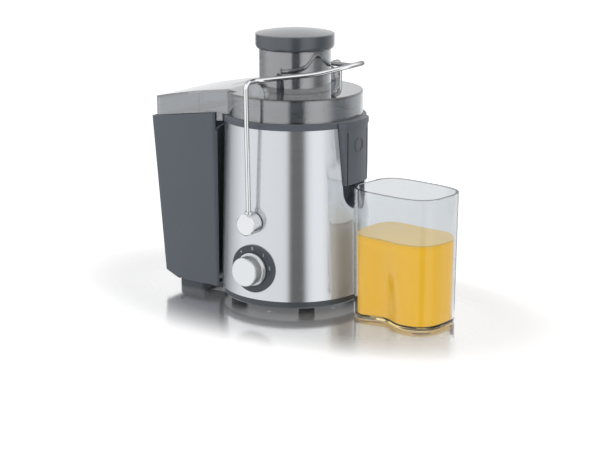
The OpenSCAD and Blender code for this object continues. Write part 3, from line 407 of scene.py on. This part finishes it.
def clear_finish(name, code, roughness, gloss, gloss_ior, passed, edge_shade_code, edge_reach):
    """Clear moulded plastic, with painted shade along its edges.

    gloss is the weight of its polished skin, and passed the share that it lets through of the
    light from lamps and pale surfaces.
    """
    made = finish(name, code, roughness, "grain", 0.01 * MM, spread=roughness * 0.5, tone=0.03,
                  plain=[("Transmission Weight", 1.0), ("IOR", 1.49), ("Coat Weight", gloss),
                         ("Coat IOR", gloss_ior), ("Coat Roughness", 0.02)],
                  Grain=60.0, Drift=9.0)
    tree = made.node_tree
    # Painted shade: the edges and rims turn to a darker colour
    tint(made, edge_shade_mask(tree, edge_reach), edge_shade_code)
    shader = tree.nodes["Principled BSDF"]
    if gloss:
        normal = place_node(tree, "ShaderNodeNewGeometry").outputs["Normal"]
        walls = place_group(tree, "upright", Normal=normal, Gloss=gloss)
        tree.links.new(walls["Weight"], shader.inputs["Coat Weight"])
    clear = place_node(tree, "ShaderNodeBsdfTransparent", Color=(passed, passed, passed, 1))
    rays = place_node(tree, "ShaderNodeLightPath").outputs
    lit = math_node(tree, "MAXIMUM", rays["Is Shadow Ray"], rays["Is Diffuse Ray"])
    both = mix_shaders(tree, lit, shader.outputs[0], clear.outputs[0])
    tree.links.new(both, tree.nodes["Material Output"].inputs["Surface"])
    return made


def paint_rim_shade(material, start, end, code):
    """Paints shade: turns the colour to a darker code where the surface is seen edge on."""
    tree = material.node_tree
    facing = place_node(tree, "ShaderNodeLayerWeight", Blend=0.5).outputs["Facing"]
    tint(material, map_range(tree, facing, start, end), code)


def fade_in_mirrors(material, share, code):
    """Turns a share of the colour to a paler code where steel or the table mirrors the piece."""
    tree = material.node_tree
    bounces = place_node(tree, "ShaderNodeLightPath").outputs["Glossy Depth"]
    mirrored = math_node(tree, "GREATER_THAN", bounces, 0.5)
    mask = math_node(tree, "MULTIPLY", mirrored, share)
    tint(material, mask, code)
    # The painted glow goes out in the same share where the piece is mirrored
    glow = tree.nodes["Principled BSDF"].inputs["Emission Color"]
    tree.links.new(mix_colours(tree, mask, tuple(glow.default_value), BLACK), glow)


def sieve_finish(name, around, rows, size):
    """Thin steel with punched holes, which show as dark dots."""
    made = finish(name, "#b9bcbe", 0.24, "brushing", 0.01 * MM, metallic=1.0)
    tree = made.node_tree
    holes = place_group(
        tree, "holes", Vector=object_place(tree), Around=around, Rows=rows, Size=size)
    tint(made, holes["Hole"], "#15171a")
    return made


finish("slate_moulded", "#5a6169", 0.36, "grain", 0.02 * MM, Grain=1100.0, Drift=14.0)
finish("dark_moulded", "#495057", 0.33, "grain", 0.02 * MM, Grain=1100.0, Drift=16.0)
finish("cap_moulded", "#4b5259", 0.26, "grain", 0.012 * MM, Grain=1100.0, Drift=16.0,
       plain=[("Coat Weight", 0.5), ("Coat Roughness", 0.2), ("Coat IOR", 1.8)])
finish("tube_moulded", "#24282c", 0.16, "grain", 0.008 * MM, Grain=800.0, Drift=16.0)
finish("dial_moulded", "#474d54", 0.34, "grain", 0.03 * MM, Grain=1600.0, Drift=30.0)
finish("black_rubber", "#26282a", 0.78, "grain", 0.05 * MM, tone=0.15,
       Grain=1500.0, Drift=60.0)
finish("sleeve_steel", "#dfe2e5", 0.15, "brushing", 0.002 * MM, metallic=0.86, spread=0.03,
       tone=0.015, Stretch=(25.0, 25.0, 2600.0))
finish("bright_wire", "#f6f7f8", 0.05, "brushing", 0.002 * MM, metallic=1.0, spread=0.02,
       tone=0.02, Stretch=(800.0, 800.0, 40.0))
finish("satin_boss", "#f0f1f2", 0.2, "turning", 0.002 * MM, metallic=1.0, spread=0.05,
       tone=0.03, centre=PIVOT_AXIS, Rings=12000.0)
finish("turned_knob", "#d6d9dc", 0.2, "turning", 0.003 * MM, metallic=0.6, spread=0.04,
       tone=0.03, centre=KNOB_AXIS, Rings=12000.0)
finish("spun_face", "#eceeef", 0.3, "turning", 0.004 * MM, metallic=1.0, spread=0.05,
       tone=0.03, centre=KNOB_AXIS, Rings=15000.0)
finish("ground_steel", "#c8cacc", 0.2, "turning", 0.002 * MM, metallic=1.0, Rings=9000.0)
finish("zinc", "#b3b7ba", 0.34, "grain", 0.01 * MM, metallic=1.0, tone=0.12,
       Grain=900.0, Drift=400.0)
finish("laminations", "#6e7276", 0.45, "layers", 0.05 * MM, metallic=0.9, tone=0.12,
       Layers=12500.0)
finish("copper_turns", "#b5652b", 0.3, "layers", 0.08 * MM, metallic=0.8, tone=0.12,
       Layers=9000.0)
finish("brass", "#c2a24d", 0.3, "grain", 0.01 * MM, metallic=1.0, Grain=900.0, Drift=60.0)
finish("carbon", "#2b2b2d", 0.55, "grain", 0.03 * MM, Grain=1800.0, Drift=100.0)
finish("filled_nylon", "#43474b", 0.5, "grain", 0.03 * MM, tone=0.12,
       Grain=1300.0, Drift=40.0)
finish("switch_nylon", "#d9d5c9", 0.45, "grain", 0.02 * MM, Grain=1300.0, Drift=40.0)
finish("capacitor_film", "#d9ac3c", 0.25, "grain", 0.02 * MM, Grain=300.0, Drift=60.0)
sieve_finish("filter_steel", around=190.0, rows=620.0, size=0.3)
finish("grater_steel", "#c4c7c9", 0.22, "turning", 0.004 * MM, metallic=1.0, Rings=7000.0)
clear_finish("smoky_clear", "#9aa1a8", roughness=0.03, gloss=1.0, gloss_ior=3.0, passed=0.85,
             edge_shade_code="#0c0e10", edge_reach=2.6 * MM)
clear_finish("jug_clear", "#f0f3f5", roughness=0.02, gloss=0.0, gloss_ior=1.5, passed=1.0,
             edge_shade_code="#7d868d", edge_reach=1.3 * MM)
# The juice and the froth glow a little: painted light, standing in for the light that reaches them
# through the jug
finish("juice", "#ffc400", 0.5, "grain", 0.02 * MM, tone=0.05,
       plain=[("Specular IOR Level", 0.15), ("Emission Color", colour("#ffb300")),
              ("Emission Strength", 0.16)], Grain=700.0, Drift=25.0)
finish("froth", "#e8c468", 0.2, "grain", 0.12 * MM, tone=0.06,
       plain=[("Emission Color", colour("#f0c060")), ("Emission Strength", 0.06)],
       Grain=500.0, Drift=60.0)
finish("dial_print", "#d9dcde", 0.5, "grain", 0.005 * MM, Grain=2000.0, Drift=100.0)

# Painted refraction: the jug's thick floor takes the juice's colour, as if the juice showed
# through it
tint(FINISHES["jug_clear"],
     height_mask(FINISHES["jug_clear"].node_tree, JUG_FLOOR_TOP - JUG_FLOOR_FADE, JUG_FLOOR_TOP),
     "#f7d988")

# Painted rim shade: where the darker rim starts and is full (0 seen square on, 1 seen edge on),
# and its colour
RIM_SHADES = {
    "bright_wire": (0.25, 0.75, "#2c3136"),
    "smoky_clear": (0.75, 0.97, "#16191c"),
    "jug_clear": (0.85, 0.99, "#8b949b"),
    "satin_boss": (0.45, 0.95, "#6e747a"),
    "turned_knob": (0.5, 0.95, "#7c8288"),
}
for label, rim in RIM_SHADES.items():
    paint_rim_shade(FINISHES[label], *rim)
for label in ("juice", "froth"):
    fade_in_mirrors(FINISHES[label], share=0.85, code="#e9e6df")

NODE_FINISHES = {
    "slate_moulded": ["inner_housing", "juice_bowl", "pulp_container"],
    "dark_moulded": ["base_plate", "container_stand", "sieve_basket"],
    "tube_moulded": ["pusher_tube"],
    "cap_moulded": ["pusher_cap"],
    "dial_moulded": ["dial_ring"],
    "black_rubber": ["rubber_feet", "bowl_gasket", "cord_gland", "shaft_seal"],
    "sleeve_steel": ["steel_sleeve"],
    "filter_steel": ["filter_cone"],
    "grater_steel": ["grater_disc"],
    "bright_wire": ["bail_wire"],
    "satin_boss": ["front_boss", "rear_boss"],
    "turned_knob": ["knob_grip"],
    "spun_face": ["knob_face"],
    "ground_steel": ["lower_bearing", "upper_bearing", "motor_shaft", "disc_nut"],
    "smoky_clear": ["lid"],
    "jug_clear": ["juice_jug"],
    "zinc": ["base_screws", "pivot_pins", "motor_screws", "knob_spindle"],
    "laminations": ["stator_core", "armature_core"],
    "copper_turns": ["field_coils", "armature_windings", "commutator"],
    "brass": ["brush_holders"],
    "carbon": ["carbon_brushes"],
    "filled_nylon": ["lower_bracket", "upper_bracket", "cooling_fan", "drive_coupling"],
    "switch_nylon": ["rotary_switch", "safety_switch"],
    "capacitor_film": ["suppression_capacitor"],
}


def dress_nodes():
    """Gives every CAD node its finish, and smooth shading that breaks at its real edges."""
    for label, names in NODE_FINISHES.items():
        for name in names:
            node = nodes[name]
            node.data.materials.clear()
            node.data.materials.append(FINISHES[label])
            node.data.shade_smooth()
            weld = node.modifiers.new("join_corners", "WELD")
            weld.merge_threshold = WELD_REACH
            split = node.modifiers.new("keep_edges", "EDGE_SPLIT")
            split.split_angle = CREASE


# ---- Pieces ----

def add_object(name, data):
    """A new object in the scene."""
    made = bpy.data.objects.new(name, data)
    bpy.context.scene.collection.objects.link(made)
    return made


def mesh_of(name, mesh_maker):
    """The mesh of a bmesh, which is then freed."""
    mesh = bpy.data.meshes.new(name)
    mesh_maker.to_mesh(mesh)
    mesh_maker.free()
    return mesh


def new_piece(name, mesh_maker, label, body):
    """A piece from a bmesh, dressed and riding on its body."""
    piece = add_object(name, mesh_of(name, mesh_maker))
    piece.data.materials.append(FINISHES[label])
    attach(piece, body)


def jug_filling(wall, middle, levels):
    """A closed body that fills the jug's inside between levels, a gap away from its wall."""
    made = bmesh.new()
    rings = []
    for z in levels:
        ring = bmesh.ops.create_circle(made, segments=RING_STEPS, radius=1.0)["verts"]
        start = Vector((middle.x, middle.y, z))
        for vertex in ring:
            out = Vector((vertex.co.x, vertex.co.y, 0)).normalized()
            reach = wall.ray_cast(start, out)[3]
            vertex.co = start + out * (reach - JUICE_GAP)
        rings.append({edge for vertex in ring for edge in vertex.link_edges})
    for under, over in zip(rings, rings[1:]):
        bmesh.ops.bridge_loops(made, edges=list(under | over))
    for ring in (rings[0], rings[-1]):
        bmesh.ops.holes_fill(made, edges=list(ring), sides=0)
    bmesh.ops.recalc_face_normals(made, faces=made.faces)
    for face in made.faces:
        face.smooth = len(face.verts) == 4
    return made


def pour_juice():
    """The juice and the thin froth that stands on it."""
    jug = nodes["juice_jug"].data
    wall = BVHTree.FromPolygons([v.co for v in jug.vertices], [p.vertices for p in jug.polygons])
    low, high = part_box("juice_jug")
    middle = (low + high) / 2
    start = Vector((middle.x, middle.y, FLOOR_SEARCH_Z))
    floor = wall.ray_cast(start, Vector((0, 0, -1)))[0].z
    levels = [floor + rise * MM for rise in JUICE_RISES]
    levels = [z for z in levels if z < JUICE_TOP - TOP_RING_ROOM] + [JUICE_TOP]
    new_piece("juice", jug_filling(wall, middle, levels), "juice", "jug")
    new_piece("juice_froth", jug_filling(wall, middle, FROTH_LEVELS), "froth", "jug")


def dial_place(degrees, face_y):
    """Where print stands on the dial ring's face, at a turn from straight up, set upright."""
    turn = math.radians(degrees)
    x = KNOB_AXIS.x + PRINT_RADIUS * math.sin(turn)
    z = KNOB_AXIS.z + PRINT_RADIUS * math.cos(turn)
    return Matrix.Translation((x, face_y, z)) @ STAND_UP


def numeral_mesh(text):
    """A numeral as a thin flat mesh about the origin."""
    curve = bpy.data.curves.new("mark", "FONT")
    curve.body = text
    curve.size = NUMERAL_SIZE
    curve.align_x = "CENTER"
    curve.align_y = "CENTER"
    curve.extrude = PRINT_HALF_DEPTH
    holder = add_object("mark", curve)
    bpy.context.view_layer.update()
    mesh = bpy.data.meshes.new_from_object(holder)
    bpy.data.objects.remove(holder)
    bpy.data.curves.remove(curve)
    return mesh


def print_dial():
    """Numbers for the switch positions, and a dot for the short pulse."""
    face_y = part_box("dial_ring")[0].y - PRINT_LIFT
    made = bmesh.new()
    for text, degrees in DIAL_NUMERALS:
        mesh = numeral_mesh(text)
        mesh.transform(dial_place(degrees, face_y))
        made.from_mesh(mesh)
        bpy.data.meshes.remove(mesh)
    bmesh.ops.create_cone(
        made, cap_ends=True, segments=20, radius1=DOT_RADIUS, radius2=DOT_RADIUS,
        depth=2 * PRINT_HALF_DEPTH, matrix=dial_place(DIAL_DOT_TURN, face_y))
    new_piece("dial_marks", made, "dial_print", "body")


# ---- Studio ----

def aim(thing, place, way):
    """Puts a camera or lamp in a place, looking along way."""
    thing.location = place
    thing.rotation_mode = "QUATERNION"
    thing.rotation_quaternion = way.to_track_quat("-Z", "Y")


def add_camera():
    """The camera at its place, level, looking a little down on the juicer."""
    data = bpy.data.cameras.new("camera")
    data.sensor_width = SENSOR_WIDTH
    data.lens = CAMERA_LENS
    data.clip_end = CLIP_END
    camera = add_object("camera", data)
    ahead = Vector((-math.sin(CAMERA_TURN) * math.cos(CAMERA_FALL),
                    math.cos(CAMERA_TURN) * math.cos(CAMERA_FALL), -math.sin(CAMERA_FALL)))
    aim(camera, CAMERA_PLACE, ahead)
    bpy.context.scene.camera = camera


def add_lamp(name, place, size, power):
    """A large soft lamp that shines at the juicer's middle."""
    data = bpy.data.lights.new(name, "AREA")
    data.shape = "SQUARE"
    data.size = size
    data.energy = power
    lamp = add_object(name, data)
    aim(lamp, place, LAMP_TARGET - Vector(place))
    lamp.visible_glossy = False


def near_mask(tree):
    """1 on the table under and close to the juicer, 0 from a hand's width away."""
    mapping = place_node(tree, "ShaderNodeMapping", vector_type="TEXTURE",
                         Location=POLISH_MIDDLE, Scale=POLISH_STRETCH)
    tree.links.new(object_place(tree), mapping.inputs["Vector"])
    length = place_node(tree, "ShaderNodeVectorMath", operation="LENGTH")
    tree.links.new(mapping.outputs[0], length.inputs[0])
    return map_range(tree, length.outputs["Value"], POLISH_INNER, POLISH_OUTER, 1.0, 0.0,
                     interpolation_type="SMOOTHSTEP")


def table_finish():
    """White and matt with a little light of its own far out, polished close to the juicer."""
    material = bpy.data.materials.new("white_table")
    material.use_nodes = True
    tree = material.node_tree
    shader = tree.nodes["Principled BSDF"]
    shader.inputs["Base Color"].default_value = (0.85, 0.85, 0.86, 1)
    shader.inputs["Roughness"].default_value = 0.6
    shader.inputs["Specular IOR Level"].default_value = 0.1
    near = near_mask(tree)
    rays = place_node(tree, "ShaderNodeLightPath").outputs
    through = math_node(tree, "MULTIPLY", rays["Is Transmission Ray"], TABLE_GLOW_THROUGH)
    seen = math_node(tree, "MAXIMUM", rays["Is Camera Ray"], through)
    open_glow = math_node(tree, "MULTIPLY", math_node(tree, "SUBTRACT", 1.0, near), TABLE_GLOW)
    glow = place_node(tree, "ShaderNodeEmission", Color=WHITE)
    tree.links.new(math_node(tree, "MULTIPLY", seen, open_glow), glow.inputs["Strength"])
    both = place_node(tree, "ShaderNodeAddShader")
    tree.links.new(shader.outputs[0], both.inputs[0])
    tree.links.new(glow.outputs[0], both.inputs[1])
    polish = place_node(tree, "ShaderNodeBsdfAnisotropic", Color=WHITE,
                        Roughness=POLISH_ROUGHNESS)
    facing = place_node(tree, "ShaderNodeLayerWeight", Blend=0.5).outputs["Facing"]
    polished = math_node(
        tree, "MULTIPLY", near, math_node(tree, "MULTIPLY", facing, POLISH_SHARE))
    mixed = mix_shaders(tree, polished, both.outputs[0], polish.outputs[0])
    tree.links.new(mixed, tree.nodes["Material Output"].inputs["Surface"])
    return material


def add_floor():
    """A white table that keeps the juicer's shadow, and reflects what stands close to it."""
    made = bmesh.new()
    bmesh.ops.create_grid(made, x_segments=1, y_segments=1, size=TABLE_HALF)
    floor = add_object("floor", mesh_of("floor", made))
    floor.visible_glossy = False
    floor.data.materials.append(table_finish())


def screen_ramp(tree, share):
    """The band of screens round the juicer, read by the share of a turn."""
    ramp = place_node(tree, "ShaderNodeValToRGB")
    stops = ramp.color_ramp.elements
    for i, (degrees, level) in enumerate(STUDIO_BAND):
        position = 0.5 + degrees / 360
        stop = stops[i] if i < 2 else stops.new(position)
        stop.position = position
        stop.color = (*[level * part for part in SCREEN_TINT], 1)
    tree.links.new(share, ramp.inputs["Fac"])
    return ramp.outputs["Color"]


def add_studio():
    """White background, even light, and bright and dark screens that only gloss shows."""
    world = bpy.data.worlds.new("studio")
    bpy.context.scene.world = world
    world.use_nodes = True
    tree = world.node_tree
    tree.nodes.clear()
    axes = split_axes(tree, place_node(tree, "ShaderNodeTexCoord").outputs["Generated"])
    turn = math_node(tree, "ARCTAN2", axes["Y"], axes["X"])
    camera_turn = CAMERA_TURN - FULL_TURN / 4
    share = math_node(tree, "DIVIDE", math_node(tree, "SUBTRACT", turn, camera_turn), FULL_TURN)
    # Half a turn puts the camera's side in the ramp's middle, and a whole one keeps it above 0
    share = math_node(tree, "FRACT", math_node(tree, "ADD", share, 1.5))
    rising = map_range(tree, axes["Z"], *BAND_FADE)
    stacked = mix_colours(tree, rising, screen_ramp(tree, share), WHITE)
    overhead = map_range(tree, axes["Z"], *OVERHEAD_FADE)
    screens = mix_colours(tree, overhead, stacked, OVERHEAD)

    rays = place_node(tree, "ShaderNodeLightPath").outputs
    even = place_node(tree, "ShaderNodeBackground", Color=WHITE, Strength=EVEN_LIGHT)
    gloss = place_node(tree, "ShaderNodeBackground")
    tree.links.new(screens, gloss.inputs["Color"])
    white = place_node(tree, "ShaderNodeBackground", Color=WHITE)
    through = math_node(tree, "MAXIMUM", rays["Is Camera Ray"], rays["Is Transmission Ray"])
    lit = mix_shaders(tree, rays["Is Glossy Ray"], even.outputs[0], gloss.outputs[0])
    seen = mix_shaders(tree, through, lit, white.outputs[0])
    tree.links.new(seen, place_node(tree, "ShaderNodeOutputWorld").inputs["Surface"])
    for lamp in LAMPS:
        add_lamp(*lamp)


add_camera()
dress_nodes()
pour_juice()
print_dial()
add_floor()
add_studio()

bpy.context.scene.view_settings.view_transform = "Standard"
